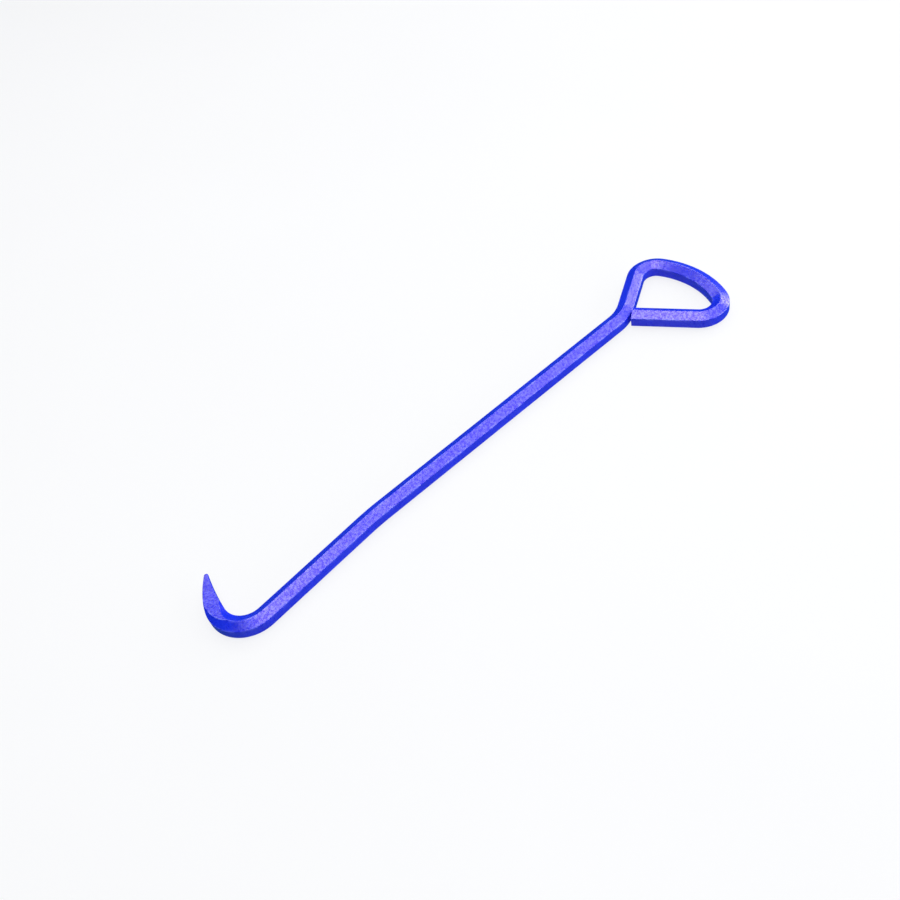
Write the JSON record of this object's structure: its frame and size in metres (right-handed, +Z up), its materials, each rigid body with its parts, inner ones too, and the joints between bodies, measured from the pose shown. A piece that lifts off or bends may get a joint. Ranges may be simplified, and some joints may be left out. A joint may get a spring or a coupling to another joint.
{
  "type": "manhole cover hook",
  "caption": "Lifting hook for manhole covers, bent from one hexagonal bar: pointed hook, long shank with a slight crook, and an open D-shaped handle, painted blue.",
  "frame": {"origin": "on the ground under the centre of the outline, with the tool lying flat on the bar's lower ridge", "axes": "+X along the upper shank from the hook to the handle, +Y towards the side that the hook opens to, +Z up, square to the one plane that all the bends lie in"},
  "size_m": [0.6762, 0.1656, 0.022],
  "materials": {
    "blue_paint": "satin"
  },
  "bodies": {
    "root": {"hook_point": "blue_paint", "hook_bend": "blue_paint", "lower_shank": "blue_paint", "shank_set_bend": "blue_paint", "upper_shank": "blue_paint", "neck_bend": "blue_paint", "handle_near_arm": "blue_paint", "handle_first_corner": "blue_paint", "handle_bow": "blue_paint", "handle_last_corner": "blue_paint", "handle_free_arm": "blue_paint"}
  },
  "joints": []
}
